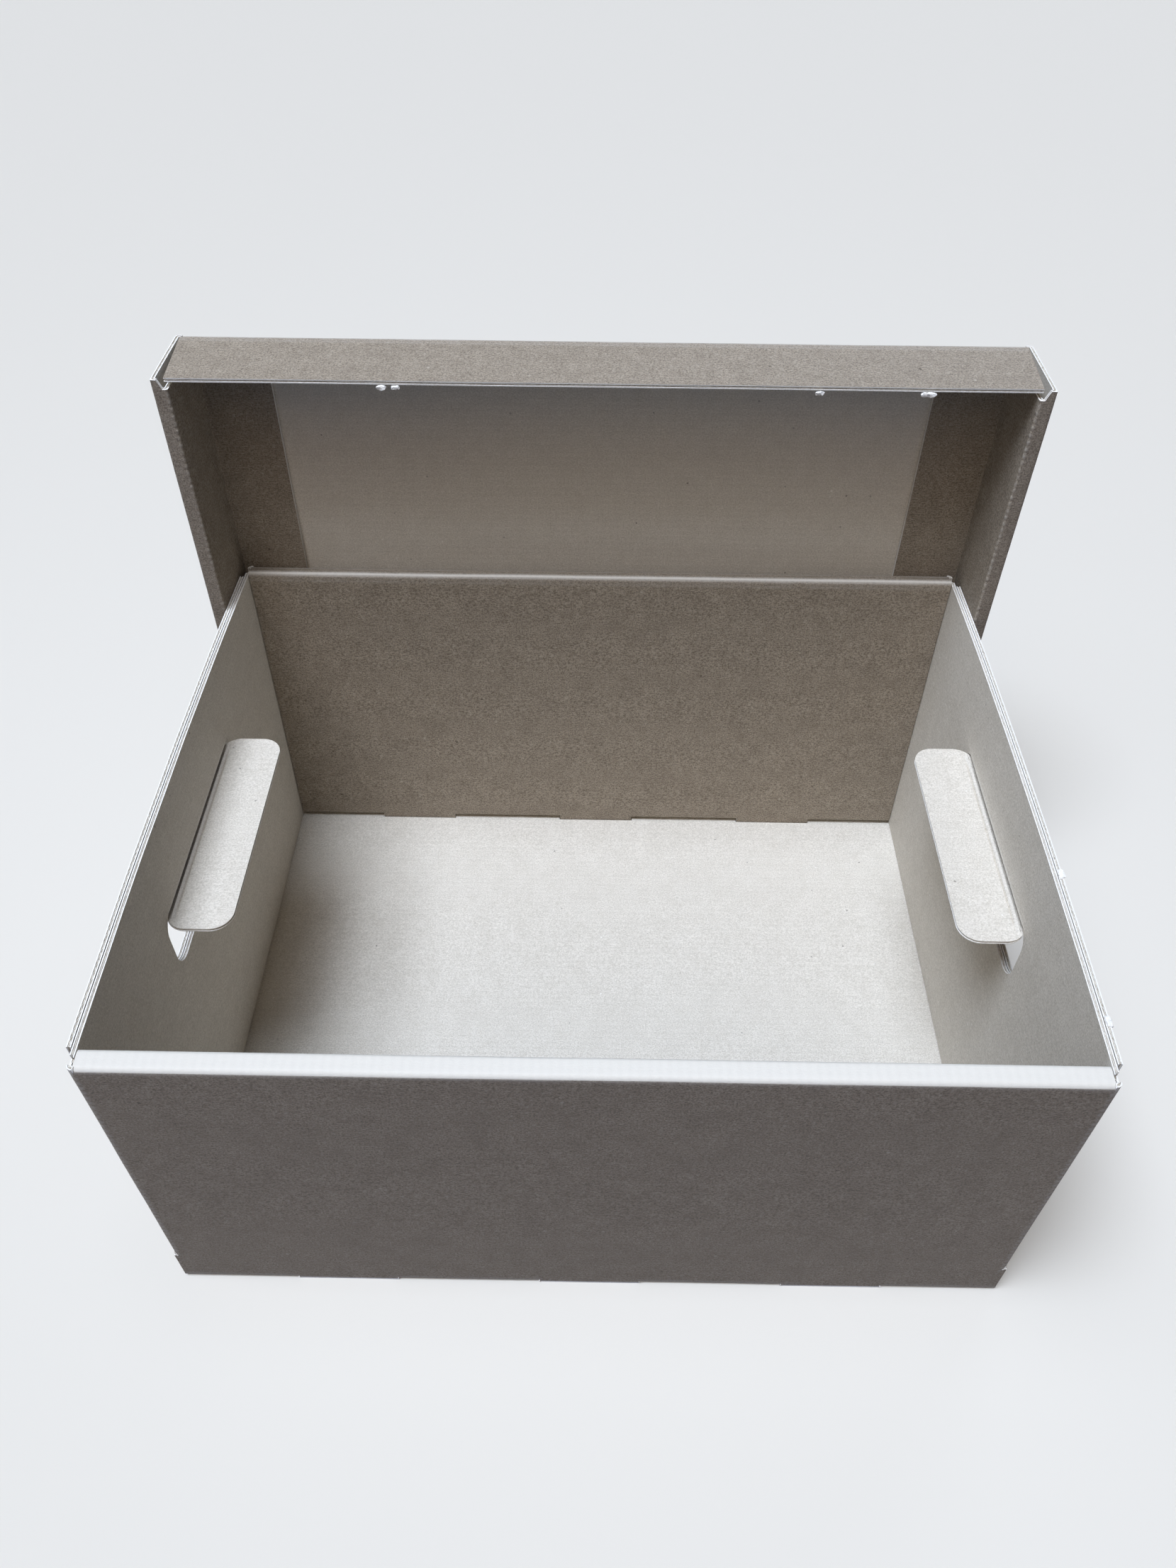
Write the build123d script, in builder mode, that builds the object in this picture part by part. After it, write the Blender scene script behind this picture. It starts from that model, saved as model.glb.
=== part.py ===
from build123d import *
import os
from math import atan2, cos, sin

# Archive box: a tray with rolled long walls and hand holes in its doubled ends, and a lift-off lid that
# stands on one long side behind the tray, with the back of the tray on the lid's lower side.
# Millimetres. The tray and the lid are each folded from one sheet of fine-flute corrugated board.

# Board
board = 1.8  # thickness of the sheet
ply_gap = 0.4  # air between two plies that lie against each other
fold_inside = 0.4  # radius on the inner side of a fold
overrun = 5.0  # how far every cut runs past the board

# Tray
tray_width = 360.0  # long walls, over the folds at their ends
tray_depth = 292.0  # over the outer faces of the long walls
tray_height = 175.0
roll_width = 9.0  # thickness of a rolled long wall at its rim, over both plies
foot_spread = 5.0  # an inner wall's foot stands out this much further than its rim
rear_roll_lift = 2.4  # the rear roll isn't pressed right down
foot_gap = 0.6  # under the front inner wall and the end plies
tab_width = 43.0
tab_spacing = 107.0
tab_count = 3
tab_recess = 0.3  # a tab ends this far above the tray's underside
slot_clearance = 0.4
end_margin = 9.0  # the end panels stop this far short of the long walls' faces
corner_relief = 22.0  # the fold between a long wall and an end ply starts this far up

# Hand holes and their flaps
hole_length = 115.0
hole_height = 29.0
hole_drop = 37.5  # from the tray's rim down to the hole's upper edge
hole_corner = 9.5
inner_hole_relief = 2.5  # the inner ply's hole reaches this far above the flap
flap_clearance = 0.3
flap_score_offset = 4.5  # second crease, measured from the hinge line
flap_score_width = 0.9
flap_score_depth = 0.3

# Lid
lid_clearance = 0.4  # air between the tray and the lid's inner faces
lid_lean = 0.8  # a rolled end's inner ply leans in by this much from its rim to the panel
lid_height = 43.0  # end walls, from the panel's outer face to the rim
lid_rim = 6.6  # thickness of a rolled end, over both plies
lid_band = 32.0  # flap of a rolled end that lies flat inside the panel
lid_roll_trim = 4.2  # the inner plies of the rolled ends stop this far short of the lid's corners
lid_side_taper = 3.0  # the long sides are this much shorter at each end of their free edge
lid_tab_length = 36.0  # corner tabs of the long sides, tucked into the rolled ends
lid_tab_inset = 4.0  # from the panel's outer face to a tab
lid_tab_share = 0.35  # part of a long side's depth that has the tab
stand_gap = 0.3  # between the back of the tray and the lid's inner faces
seat_gap = 0.1  # between the tray's underside and the edge that it leans on

# Sizes that follow
half_board = board / 2
fold_middle = fold_inside + half_board
fold_radius = fold_inside + board
roll_half = tray_width / 2 - board - ply_gap
end_face = tray_width / 2 + ply_gap + board
lid_foot = end_face + lid_clearance
lid_inside = lid_foot + lid_lean
lid_half = lid_inside + lid_rim
lid_length = tray_depth + 2 * (lid_clearance + board)
lid_side = lid_height - board - ply_gap
lid_lining = 2 * board + ply_gap
stand_depth = tray_depth + stand_gap + lid_lining

# The stand: the origin is on the floor, at the middle of the space that the whole takes up
tilt = atan2(board + seat_gap, stand_depth - lid_side)
overhang = tray_height * sin(tilt)
tray_front = (overhang - stand_depth) / 2
lid_back = (overhang + stand_depth) / 2

# Planes of the tray: x across, y from its front face to its back, z up from its underside
tray_floor = Plane(origin=(0, tray_front, 0), x_dir=(1, 0, 0), z_dir=(0, -sin(tilt), cos(tilt)))
tray_section = Plane(origin=tray_floor.origin, x_dir=tray_floor.y_dir, z_dir=tray_floor.x_dir)
tray_face = Plane(origin=tray_floor.origin, x_dir=tray_floor.x_dir, z_dir=-tray_floor.y_dir)

hole_top = tray_height - hole_drop
hole_middle = hole_top - hole_height / 2
hinge_x = tray_width / 2 + ply_gap
front_foot = board + foot_gap
rear_foot = front_foot + rear_roll_lift
slot_width = tab_width + 2 * slot_clearance
slot_edge = roll_width + foot_spread + slot_clearance
front_rim = tray_height - half_board
rear_rim = front_rim + rear_roll_lift


def inner_wall(z, rim, foot):
    """Middle of an inner wall at height z, measured in from the outer face of its long wall."""
    return roll_width - half_board + foot_spread * (rim - z) / (rim - foot)


# Tray: one folded sheet
with BuildPart() as tray:
    # Rolled long walls and the bottom panel, drawn along the middle of the sheet
    with BuildSketch(tray_section):
        with BuildLine():
            FilletPolyline(
                (inner_wall(front_foot, front_rim, front_foot), front_foot),
                (inner_wall(front_rim, front_rim, front_foot), front_rim),
                (half_board, front_rim),
                (half_board, half_board),
                (tray_depth - half_board, half_board),
                (tray_depth - half_board, front_rim),
                (tray_depth - inner_wall(rear_rim, rear_rim, rear_foot), rear_rim),
                (tray_depth - inner_wall(rear_foot, rear_rim, rear_foot), rear_foot),
                radius=fold_middle,
            )
        trace(line_width=board)
    extrude(amount=roll_half, both=True)

    # Ears of the long walls, past the ends of the rolls
    with BuildSketch(tray_section.offset(roll_half), tray_section.offset(-tray_width / 2)):
        with BuildLine():
            FilletPolyline(
                (half_board, tray_height),
                (half_board, half_board),
                (tray_depth - half_board, half_board),
                (tray_depth - half_board, tray_height),
                radius=fold_middle,
            )
        trace(line_width=board)
    extrude(amount=tray_width / 2 - roll_half)

    # Inner plies of the ends, folded in from the long walls
    with BuildSketch(tray_floor.offset(front_foot)):
        for side in (-1, 1):
            with Locations((side * (tray_width - board) / 2, tray_depth / 2)):
                Rectangle(board, tray_depth)
    extrude(amount=tray_height - front_foot)

    # Outer plies of the ends, folded up from the bottom panel
    with BuildSketch(tray_face.offset(-end_margin)):
        with BuildLine():
            FilletPolyline(
                (roll_half, half_board),
                (end_face - half_board, half_board),
                (end_face - half_board, tray_height),
                radius=fold_middle,
            )
        trace(line_width=board)
        mirror(about=Plane.YZ)
    extrude(amount=2 * end_margin - tray_depth)

    # Rounded folds at the four upright corners, above the relief
    with BuildSketch(tray_floor.offset(corner_relief)):
        Rectangle(tray_width, tray_depth, align=(Align.CENTER, Align.MIN))
        with Locations((0, tray_depth / 2)):
            RectangleRounded(tray_width, tray_depth, fold_radius, mode=Mode.SUBTRACT)
    extrude(amount=tray_height, mode=Mode.SUBTRACT)

    # Relief notches where the rolls, the long walls and the end plies meet
    with BuildSketch(tray_floor.offset(tray_height - fold_radius)):
        for side in (-1, 1):
            with Locations(
                (side * tray_width / 2, fold_radius + board),
                (side * tray_width / 2, tray_depth - fold_radius - board),
            ):
                Circle(board + ply_gap / 2)
    extrude(amount=overrun, mode=Mode.SUBTRACT)

    # Locking slots at the bottom creases
    with BuildSketch(tray_floor):
        for y in ((board + slot_edge) / 2, tray_depth - (board + slot_edge) / 2):
            with Locations((0, y)):
                with GridLocations(tab_spacing, 0, tab_count, 1):
                    Rectangle(slot_width, slot_edge - board)
    extrude(amount=front_foot, mode=Mode.SUBTRACT)

    # Cut edges of the long walls at the slots, square where the rest of the crease is round
    with BuildSketch(tray_floor):
        for y in (board / 2, tray_depth - board / 2):
            with Locations((0, y)):
                with GridLocations(tab_spacing, 0, tab_count, 1):
                    Rectangle(slot_width, board)
    extrude(amount=2 * fold_radius)

    # Locking tabs on the feet of the inner walls, in line with them
    tab_planes = [
        tray_section.offset((place - (tab_count - 1) / 2) * tab_spacing) for place in range(tab_count)
    ]
    for rim, foot, rear in ((front_rim, front_foot, False), (rear_rim, rear_foot, True)):
        tab_line = [(inner_wall(z, rim, foot), z) for z in (foot + board, tab_recess)]
        with BuildSketch(*tab_planes):
            with BuildLine():
                Polyline(*[(tray_depth - y if rear else y, z) for y, z in tab_line])
            trace(line_width=board)
        extrude(amount=tab_width / 2, both=True)

    # Hand holes through both plies of each end
    with BuildSketch(tray_section):
        with Locations((tray_depth / 2, hole_middle)):
            RectangleRounded(hole_length, hole_height, hole_corner)
    extrude(amount=end_face + overrun, both=True, mode=Mode.SUBTRACT)
    with BuildSketch(tray_section):
        with Locations((tray_depth / 2, hole_middle + inner_hole_relief)):
            RectangleRounded(hole_length, hole_height, hole_corner)
    extrude(amount=(tray_width + ply_gap) / 2, both=True, mode=Mode.SUBTRACT)

tray.part.label = "tray"

# Hand flaps: cut from the outer plies, hinged along their upper edge and pushed in level
flap_width = hole_height - 2 * flap_clearance
flaps = []
for side, name in ((-1, "left_hand_flap"), (1, "right_hand_flap")):
    with BuildPart() as flap:
        with BuildSketch(tray_floor.offset(hole_top)):
            with Locations((side * (hinge_x - flap_clearance - flap_width / 2), tray_depth / 2)):
                RectangleRounded(flap_width, hole_length - 2 * flap_clearance, hole_corner - flap_clearance)
        extrude(amount=-board)
        # Second crease
        with BuildSketch(tray_floor.offset(hole_top)):
            with Locations((side * (hinge_x - flap_score_offset), tray_depth / 2)):
                Rectangle(flap_score_width, hole_length)
        extrude(amount=-flap_score_depth, mode=Mode.SUBTRACT)
    flap.part.label = name
    flaps.append(flap.part)

# Lid: one folded sheet, open to the front
lid_rim_face = lid_back - lid_height
lid_side_end = lid_half - board - ply_gap
lid_fold_end = lid_half - fold_radius - fold_inside
lid_tab_face = lid_side_end - lid_side_taper * lid_tab_share
lid_tab_depth = lid_side * lid_tab_share - lid_tab_inset
with BuildPart() as lid:
    # Panel and long sides, drawn along the middle of the sheet
    with BuildSketch(Plane.YZ):
        with BuildLine():
            FilletPolyline(
                (lid_back - lid_side, half_board),
                (lid_back - half_board, half_board),
                (lid_back - half_board, lid_length - half_board),
                (lid_back - lid_side, lid_length - half_board),
                radius=fold_middle,
            )
        trace(line_width=board)
    extrude(amount=lid_side_end, both=True)

    # Tapered ends of the long sides
    with BuildSketch(Plane.XY):
        with BuildLine():
            Polyline(
                (lid_side_end, lid_back - board),
                (lid_side_end, lid_back - lid_side),
                (lid_side_end - lid_side_taper, lid_back - lid_side),
                close=True,
            )
        make_face()
        mirror(about=Plane.YZ)
    extrude(amount=lid_length, mode=Mode.SUBTRACT)

    # Corner tabs of the long sides, inside the rolled ends
    for plane, length in ((Plane.XY, lid_tab_length), (Plane.XY.offset(lid_length), -lid_tab_length)):
        with BuildSketch(plane):
            with Locations((0, lid_back - lid_tab_inset - lid_tab_depth / 2)):
                with GridLocations(2 * lid_tab_face - board, 0, 2, 1):
                    Rectangle(board, lid_tab_depth)
        extrude(amount=length)

    # Rolled ends, with the band of each that lies flat inside the panel
    with BuildSketch(Plane.XY.offset(lid_roll_trim)):
        with BuildLine():
            FilletPolyline(
                (lid_foot - lid_band, lid_back - lid_lining + half_board),
                (lid_foot + half_board, lid_back - lid_lining + half_board),
                (lid_inside + half_board, lid_rim_face + half_board),
                (lid_half - half_board, lid_rim_face + half_board),
                (lid_half - half_board, lid_back - half_board),
                (lid_foot, lid_back - half_board),
                radius=fold_middle,
            )
        trace(line_width=board)
        mirror(about=Plane.YZ)
    extrude(amount=lid_length - 2 * lid_roll_trim)

    # Outer plies of the rolled ends run on to the full length
    with BuildSketch(Plane.XY):
        with BuildLine():
            FilletPolyline(
                (lid_fold_end, lid_rim_face + half_board),
                (lid_half - half_board, lid_rim_face + half_board),
                (lid_half - half_board, lid_back - half_board),
                (lid_fold_end, lid_back - half_board),
                radius=fold_middle,
            )
        trace(line_width=board)
        mirror(about=Plane.YZ)
    extrude(amount=lid_length)

    # Slanted ends of the rims
    with BuildSketch(Plane.XZ.offset(-lid_rim_face)):
        for end, inner in ((0, lid_roll_trim), (lid_length, lid_length - lid_roll_trim)):
            with BuildLine():
                Polyline(
                    (lid_fold_end, end),
                    (lid_fold_end, inner),
                    (lid_inside + fold_radius, inner),
                    close=True,
                )
            make_face()
        mirror(about=Plane.YZ)
    extrude(amount=-board)

lid.part.label = "lid"

os.makedirs("parts", exist_ok=True)
for piece in [tray.part, lid.part, *flaps]:
    export_step(piece, f"parts/{piece.label}.step")
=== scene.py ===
"""Archive box of fine-flute corrugated board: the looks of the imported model."""
import logging
import math
from collections import deque
from dataclasses import dataclass, field
from enum import IntEnum
from typing import Any, Iterable

import bmesh
import bpy
from mathutils import Matrix, Vector, noise
from mathutils.bvhtree import BVHTree


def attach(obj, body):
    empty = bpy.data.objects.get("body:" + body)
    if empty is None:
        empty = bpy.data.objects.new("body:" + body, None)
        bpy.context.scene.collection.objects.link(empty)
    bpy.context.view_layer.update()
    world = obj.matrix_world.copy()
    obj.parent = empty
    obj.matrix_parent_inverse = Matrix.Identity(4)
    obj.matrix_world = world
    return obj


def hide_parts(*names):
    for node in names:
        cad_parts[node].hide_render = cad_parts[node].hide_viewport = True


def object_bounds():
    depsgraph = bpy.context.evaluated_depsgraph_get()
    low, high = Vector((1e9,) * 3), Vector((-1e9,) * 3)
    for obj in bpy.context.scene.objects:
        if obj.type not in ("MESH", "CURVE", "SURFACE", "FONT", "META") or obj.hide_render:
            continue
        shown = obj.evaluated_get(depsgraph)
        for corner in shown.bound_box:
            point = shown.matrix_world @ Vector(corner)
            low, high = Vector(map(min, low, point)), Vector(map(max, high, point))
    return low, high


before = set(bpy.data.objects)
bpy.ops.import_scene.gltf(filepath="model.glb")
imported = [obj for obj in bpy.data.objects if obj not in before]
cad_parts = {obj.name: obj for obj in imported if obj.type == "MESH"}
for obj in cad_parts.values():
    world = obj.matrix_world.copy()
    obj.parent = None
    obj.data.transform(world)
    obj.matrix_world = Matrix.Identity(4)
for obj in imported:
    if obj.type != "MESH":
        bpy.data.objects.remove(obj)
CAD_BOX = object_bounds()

LOG = logging.getLogger("archive_box")
MM = 0.001
PHOTO_HEIGHT = 2212
FACING = 0.7  # part of a unit vector from which a face counts as facing that way
SLACK = 0.1  # millimetres within which a point counts as lying on a line
NOISE_SEED = 7  # fixed, so that the board wanders alike on every run


class Side(IntEnum):
    """Surfaces of the board, in the order of a sheet's material slots."""

    OUTER = 0
    INNER = 1
    EDGE = 2
    HOLLOW = 3


def linear(code: str) -> tuple[float, float, float, float]:
    """Turn an sRGB hex code into linear light.

    Args:
        code: Colour as "#RRGGBB".

    Returns:
        Linear red, green and blue, and an alpha of 1.
    """
    parts = [int(code[i:i + 2], 16) / 255 for i in (1, 3, 5)]
    red, green, blue = (p / 12.92 if p <= 0.04045 else ((p + 0.055) / 1.055) ** 2.4 for p in parts)
    return red, green, blue, 1.0


def per_metre(size: float) -> float:
    """Give the texture scale at which one repeat is this many millimetres."""
    return 1 / (size * MM)


def add(
        tree: bpy.types.NodeTree, kind: str, sockets: dict[str | int, Any] | None = None,
        **settings: Any) -> bpy.types.Node:
    """Add a node, with its settings, socket values and links.

    Args:
        tree: Node tree that gets the node.
        kind: Node type.
        sockets: Input name or number to a value, or to the output that feeds it.
        settings: Properties of the node.

    Returns:
        The new node.
    """
    node = tree.nodes.new(kind)
    for name, value in settings.items():
        setattr(node, name, value)
    for name, value in (sockets or {}).items():
        if isinstance(value, bpy.types.NodeSocket):
            tree.links.new(value, node.inputs[name])
        else:
            node.inputs[name].default_value = value
    return node


def new_material(name: str) -> tuple[bpy.types.Material, bpy.types.NodeTree]:
    """Start an empty node material.

    Args:
        name: Name of the material.

    Returns:
        The material and its node tree.
    """
    material = bpy.data.materials.new(name)
    material.use_nodes = True
    material.node_tree.nodes.clear()
    return material, material.node_tree


def only(piece: bpy.types.Object) -> None:
    """Make a piece the only selected object and the active one.

    Args:
        piece: Object to select.
    """
    bpy.ops.object.select_all(action="DESELECT")
    piece.select_set(True)
    bpy.context.view_layer.objects.active = piece


@dataclass(frozen=True)
class LinerPaper:
    """Face paper of the board: long fibres along the sheet, clouds, flecks and the flutes showing through.

    Sizes are in millimetres, shares run from 0 to 1.
    """

    name: str
    paper: str
    cloud: str
    fibre: str
    fleck: str
    pale_fleck: str
    crease: str
    polish: str
    cloud_size: float
    cloud_share: float
    fibre_length: float
    fibre_width: float
    fibre_share: float
    grain_size: float
    grain_share: float
    fleck_spacing: float
    fleck_share: float
    crease_share: float
    washboard_share: float
    relief: float
    roughness: tuple[float, float]
    specular: float
    flute_pitch: float = 3.4

    def make(self) -> bpy.types.Material:
        """Build the material.

        Returns:
            Paper that reads the piece's "board" UV map, in metres along and across the flutes.
        """
        material, tree = new_material(self.name)
        place = add(tree, "ShaderNodeTexCoord")
        sheet = add(tree, "ShaderNodeUVMap", uv_map="board")
        across = add(tree, "ShaderNodeSeparateXYZ", {0: sheet.outputs[0]})

        # Fibres lie along the sheet; their width is drawn coarse enough to show
        stretch = (per_metre(self.fibre_length), per_metre(self.fibre_width), 1)
        run = add(tree, "ShaderNodeMapping", {"Vector": sheet.outputs[0], "Scale": stretch})
        fibre = add(tree, "ShaderNodeTexNoise", {
            "Vector": run.outputs[0], "Scale": 1.0, "Detail": 3.0, "Roughness": 0.6, "Distortion": 0.4})
        strands = add(tree, "ShaderNodeMapRange", {
            "Value": fibre.outputs[0], "From Min": 0.46, "From Max": 0.72, "To Max": self.fibre_share})
        cloud = add(tree, "ShaderNodeTexNoise", {
            "Vector": place.outputs["Object"], "Scale": per_metre(self.cloud_size), "Detail": 4.0, "Roughness": 0.55})
        clouds = add(tree, "ShaderNodeMapRange", {
            "Value": cloud.outputs[0], "From Min": 0.36, "From Max": 0.66, "To Max": self.cloud_share})
        grain = add(tree, "ShaderNodeTexNoise", {
            "Vector": place.outputs["Object"], "Scale": per_metre(self.grain_size), "Detail": 2.0, "Roughness": 0.7})
        grains = add(tree, "ShaderNodeMapRange", {
            "Value": grain.outputs[0], "From Min": 0.34, "From Max": 0.66, "To Max": self.grain_share})
        layers = [(clouds, self.cloud), (grains, self.cloud), (strands, self.fibre)]

        # Flecks of recycled fibre: a few of the cells carry one, dark or pale
        for shade, seed in ((self.fleck, 0.0), (self.pale_fleck, 5.3)):
            shift = add(tree, "ShaderNodeMapping", {
                "Vector": place.outputs["Object"], "Location": (seed, seed, seed),
                "Scale": (per_metre(self.fleck_spacing),) * 3})
            cell = add(tree, "ShaderNodeTexVoronoi", {"Vector": shift.outputs[0], "Scale": 1.0})
            dot = add(tree, "ShaderNodeMapRange", {
                "Value": cell.outputs["Distance"], "From Min": 0.11, "From Max": 0.05, "To Max": 1.0})
            pick = add(tree, "ShaderNodeSeparateColor", {0: cell.outputs["Color"]})
            rare = add(tree, "ShaderNodeMapRange", {
                "Value": pick.outputs[0], "From Min": 1 - self.fleck_share, "From Max": 1.0, "To Max": 0.8})
            spot = add(tree, "ShaderNodeMath", {0: dot.outputs[0], 1: rare.outputs[0]}, operation="MULTIPLY")
            layers.append((spot, shade))

        # Flutes show through as a faint washboard
        turn = add(tree, "ShaderNodeMath", {
            0: across.outputs[1], 1: math.tau * per_metre(self.flute_pitch)}, operation="MULTIPLY")
        wave = add(tree, "ShaderNodeMath", {0: turn.outputs[0]}, operation="SINE")
        ridge = add(tree, "ShaderNodeMapRange", {
            "Value": wave.outputs[0], "From Min": -1.0, "From Max": 1.0, "To Max": self.washboard_share})
        layers.append((ridge, self.cloud))

        # Paper on the folds is paler, in beads at the flutes: partly stretched paper, partly a painted highlight
        fold = add(tree, "ShaderNodeAttribute", attribute_name="crease")
        bead = add(tree, "ShaderNodeMapRange", {
            "Value": wave.outputs[0], "From Min": -0.6, "From Max": 0.8, "To Min": 0.5, "To Max": 1.0})
        wear_and_highlight = add(tree, "ShaderNodeMath", {0: fold.outputs["Fac"], 1: bead.outputs[0]}, operation="MULTIPLY")
        wear_and_highlight = add(tree, "ShaderNodeMath", {0: wear_and_highlight.outputs[0], 1: cloud.outputs[0]}, operation="MULTIPLY")
        wear_and_highlight = add(tree, "ShaderNodeMapRange", {
            "Value": wear_and_highlight.outputs[0], "From Min": 0.12, "From Max": 0.6, "To Max": self.crease_share})
        layers.append((wear_and_highlight, self.crease))

        # Painted sheen: where the rolled attribute says, the paper takes a paler highlight colour, with fine cross
        # ripples
        roll = add(tree, "ShaderNodeAttribute", attribute_name="rolled")
        swell = add(tree, "ShaderNodeMath", {
            0: across.outputs[0], 1: math.tau * per_metre(self.flute_pitch)}, operation="MULTIPLY")
        swell = add(tree, "ShaderNodeMath", {0: swell.outputs[0]}, operation="SINE")
        swell = add(tree, "ShaderNodeMath", {0: swell.outputs[0], 1: cloud.outputs[0]}, operation="MULTIPLY")
        painted_sheen = add(tree, "ShaderNodeMapRange", {
            "Value": swell.outputs[0], "From Min": -0.5, "From Max": 0.5, "To Min": 0.88, "To Max": 0.92})
        painted_sheen = add(tree, "ShaderNodeMath", {0: painted_sheen.outputs[0], 1: roll.outputs["Fac"]}, operation="MULTIPLY")
        layers.append((painted_sheen, self.polish))

        # Each layer lies over the ones before it
        body: Any = linear(self.paper)
        for share, colour in layers:
            mix = add(tree, "ShaderNodeMix", {0: share.outputs[0], 6: body, 7: linear(colour)}, data_type="RGBA")
            body = mix.outputs[2]

        # Relief: washboard, fibres and grain
        height = add(tree, "ShaderNodeMath", {
            0: fibre.outputs[0], 1: 0.5, 2: ridge.outputs[0]}, operation="MULTIPLY_ADD")
        height = add(tree, "ShaderNodeMath", {
            0: grain.outputs[0], 1: 0.4, 2: height.outputs[0]}, operation="MULTIPLY_ADD")
        bump = add(tree, "ShaderNodeBump", {
            "Height": height.outputs[0], "Strength": 0.6, "Distance": self.relief * MM})
        gloss = add(tree, "ShaderNodeMapRange", {
            "Value": fibre.outputs[0], "From Min": 0.3, "From Max": 0.7,
            "To Min": self.roughness[0], "To Max": self.roughness[1]})
        shader = add(tree, "ShaderNodeBsdfPrincipled", {
            "Base Color": body, "Roughness": gloss.outputs[0], "Normal": bump.outputs[0], "IOR": 1.5,
            "Specular IOR Level": self.specular})
        add(tree, "ShaderNodeOutputMaterial", {"Surface": shader.outputs[0]})
        return material


@dataclass(frozen=True)
class TornFibre:
    """Raw paper where the board was die-cut or where the flutes show: matt, pale and uneven."""

    name: str
    pale: str
    dark: str
    tuft: float
    roughness: float

    def make(self) -> bpy.types.Material:
        """Build the material.

        Returns:
            Matt paper, uneven at the size of its tufts.
        """
        material, tree = new_material(self.name)
        place = add(tree, "ShaderNodeTexCoord")
        tuft = add(tree, "ShaderNodeTexNoise", {
            "Vector": place.outputs["Object"], "Scale": per_metre(self.tuft), "Detail": 4.0, "Roughness": 0.65})
        spread = add(tree, "ShaderNodeMapRange", {"Value": tuft.outputs[0], "From Min": 0.32, "From Max": 0.68})
        body = add(tree, "ShaderNodeMix", {
            0: spread.outputs[0], 6: linear(self.dark), 7: linear(self.pale)}, data_type="RGBA")
        bump = add(tree, "ShaderNodeBump", {"Height": tuft.outputs[0], "Strength": 0.5, "Distance": 0.1 * MM})
        shader = add(tree, "ShaderNodeBsdfPrincipled", {
            "Base Color": body.outputs[2], "Roughness": self.roughness, "Normal": bump.outputs[0], "IOR": 1.5})
        add(tree, "ShaderNodeOutputMaterial", {"Surface": shader.outputs[0]})
        return material


# Brown kraft liner, calendered: grey-brown, mottled, with a low gloss; its folds and rolled strips carry a painted
# sheen
KRAFT = LinerPaper(
    name="kraft_liner", paper="#ACA08F", cloud="#64594D", fibre="#BFB5A6", fleck="#453A30", pale_fleck="#BDB3A4",
    crease="#CFC8BE", polish="#E4DFD5", cloud_size=8.0, cloud_share=0.3, fibre_length=2.0, fibre_width=0.7,
    fibre_share=0.5, grain_size=0.75, grain_share=0.9, fleck_spacing=8.0, fleck_share=0.14, crease_share=0.4,
    washboard_share=0.06, relief=0.25, roughness=(0.52, 0.66), specular=0.15)

# Recycled test liner on the inside: pale warm grey, even, with dark and light flecks and no real sheen; a painted
# sheen still lies on its folds, the hand holes' lips and the flaps' strips
TESTLINER = LinerPaper(
    name="recycled_liner", paper="#E3DCD0", cloud="#A79E8E", fibre="#F0EBE1", fleck="#463D32", pale_fleck="#F4F0E9",
    crease="#F0EBE2", polish="#F3EFE7", cloud_size=7.0, cloud_share=0.14, fibre_length=1.6, fibre_width=0.8,
    fibre_share=0.35, grain_size=0.7, grain_share=0.58, fleck_spacing=6.0, fleck_share=0.2, crease_share=0.5,
    washboard_share=0.06, relief=0.35, roughness=(0.72, 0.86), specular=0.4)

# Die-cut edge of the two liners: near-white torn fibre
CUT_EDGE = TornFibre(name="die_cut_fibre", pale="#FCFAF6", dark="#E6E1D8", tuft=0.9, roughness=0.92)

# Hollow between the liners, seen past the flutes: the same paper, darker as painted shade
HOLLOW = TornFibre(name="flute_hollow_paper", pale="#D8D1C4", dark="#8F8575", tuft=1.2, roughness=0.95)

# Fluting medium: thin grey recycled paper, seen edge on
MEDIUM = TornFibre(name="fluting_medium", pale="#F1EEE8", dark="#CDC7BB", tuft=1.4, roughness=0.92)


@dataclass(frozen=True)
class RawStrip:
    """A straight stretch of raw edge: where it is, and whether the flutes end on it."""

    centre: Vector
    along: Vector
    across: Vector
    normal: Vector
    length: float
    end_on: bool


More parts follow.
